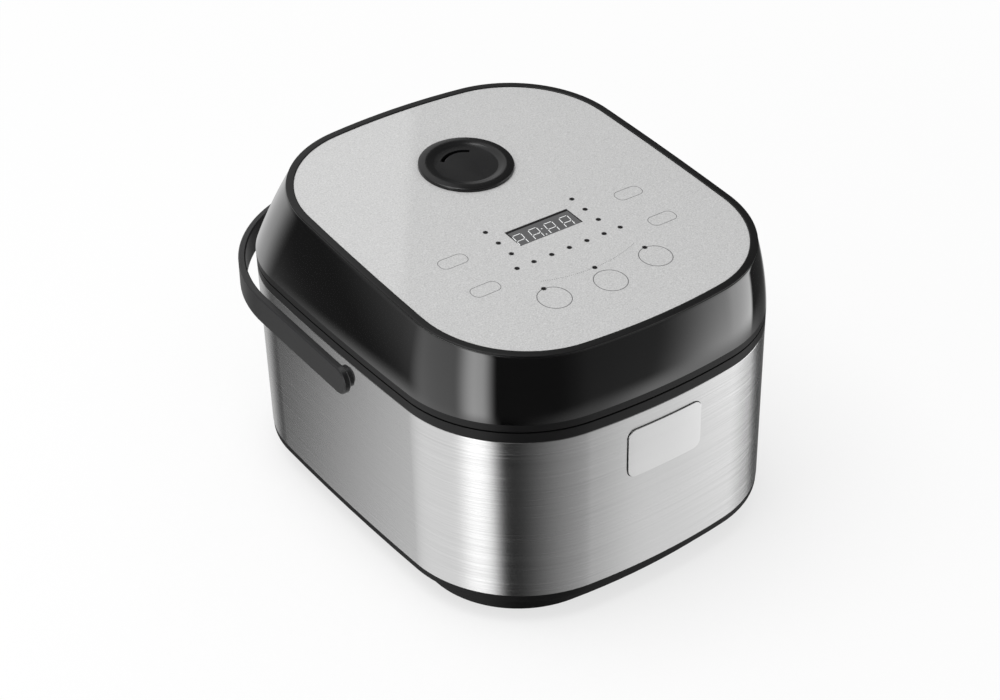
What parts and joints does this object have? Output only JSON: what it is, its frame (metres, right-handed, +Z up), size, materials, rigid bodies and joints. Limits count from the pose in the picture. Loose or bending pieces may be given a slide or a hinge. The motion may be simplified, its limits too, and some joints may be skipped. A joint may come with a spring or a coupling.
{
  "type": "rice cooker",
  "caption": "Rice cooker with a brushed steel body, hinged lid with a tilted control panel, steam cap, push-button latch and a folded carry handle.",
  "frame": {"origin": "on the floor, under the middle of the whole outline, handle and button included", "axes": "+X to the right seen from the front, +Y from the release button to the hinge, +Z up"},
  "size_m": [0.2914, 0.3565, 0.2266],
  "materials": {
    "steel": "brushed",
    "black_plastic": "fine matt",
    "foot_rubber": "matt",
    "screw_steel": "plain",
    "collar_plastic": "fine matt",
    "shield_metal": "rolled",
    "cast_plate": "cast",
    "holder_ceramic": "unglazed",
    "sensor_metal": "satin",
    "spring_steel": "drawn wire",
    "pot_coating": "dark non-stick coating",
    "circuit_board": "solder mask",
    "inlet_plastic": "moulded",
    "button_metal": "satin",
    "bracket_metal": "black",
    "hook_metal": "stamped",
    "handle_plastic": "fine matt",
    "gloss_black": "polished",
    "panel_silver": "fine grained silver",
    "display_grey": "smoked",
    "lens_dark": "smoked",
    "contact_brass": "plated",
    "seal_silicone": "matt",
    "inner_lid_metal": "satin",
    "knob_plastic": "matt"
  },
  "bodies": {
    "cooker_body": {"steel_wrap": "steel", "base_tray": "black_plastic", "feet": "foot_rubber", "tray_screws": "screw_steel", "collar": "collar_plastic", "heat_shield": "shield_metal", "heating_plate": "cast_plate", "sensor_holder": "holder_ceramic", "sensor_spring": "spring_steel", "inner_pot": "pot_coating", "power_board": "circuit_board", "power_inlet": "inlet_plastic", "button_springs": "spring_steel", "latch_bracket": "bracket_metal", "latch_pin": "spring_steel", "hinge_bracket": "collar_plastic", "hinge_pin": "screw_steel", "hinge_spring": "spring_steel", "handle_pivots": "handle_plastic", "cup_bay": "black_plastic"},
    "sensor": {"sensor_plunger": "sensor_metal"},
    "button": {"release_button": "button_metal"},
    "hook": {"latch_hook": "hook_metal"},
    "handle": {"carry_handle": "handle_plastic"},
    "cup": {"condensate_cup": "handle_plastic"},
    "lid": {"lid_frame": "collar_plastic", "lid_skirt": "gloss_black", "lid_rim": "collar_plastic", "top_panel": "panel_silver", "display_window": "display_grey", "indicator_lenses": "lens_dark", "control_board": "circuit_board", "touch_springs": "contact_brass", "steam_duct": "collar_plastic", "inner_lid": "inner_lid_metal", "lid_seal": "seal_silicone", "inner_lid_knob": "knob_plastic", "latch_catch": "hook_metal", "lid_screws": "screw_steel"},
    "vent_cap": {"steam_cap": "collar_plastic", "cap_seal": "seal_silicone"}
  },
  "joints": [
    {"name": "lid_hinge", "type": "hinge", "parent": "cooker_body", "child": "lid", "pos_m": [0, 0.1548, 0.163], "axis": [-1, 0, 0], "range_deg": [0, 85]},
    {"name": "handle_swing", "type": "hinge", "parent": "cooker_body", "child": "handle", "pos_m": [0, -0.0252, 0.1379], "axis": [1, 0, 0], "range_deg": [0, 87.6]},
    {"name": "button_press", "type": "slide", "parent": "cooker_body", "child": "button", "axis": [0, 1, 0], "range_m": [0, 0.003], "stiffness_N_per_m": 1500, "springref_m": -0.003, "deforming": ["button_springs"]},
    {"name": "hook_turn", "type": "hinge", "parent": "cooker_body", "child": "hook", "pos_m": [0, -0.1582, 0.088], "axis": [-1, 0, 0], "range_deg": [0, 6.47]},
    {"name": "vent_cap_lift", "type": "slide", "parent": "lid", "child": "vent_cap", "axis": [0, -0.0889, 0.996], "range_m": [0, 0.03]},
    {"name": "cup_pull", "type": "slide", "parent": "cooker_body", "child": "cup", "axis": [0, 1, 0], "range_m": [0, 0.04]},
    {"name": "sensor_press", "type": "slide", "parent": "cooker_body", "child": "sensor", "axis": [0, 0, -1], "range_m": [0, 0.003], "stiffness_N_per_m": 1200, "springref_m": -0.002, "deforming": ["sensor_spring"]}
  ],
  "couplings": [
    {"joint": "hook_turn", "follows": "button_press", "rad_per_m": 37.59}
  ]
}
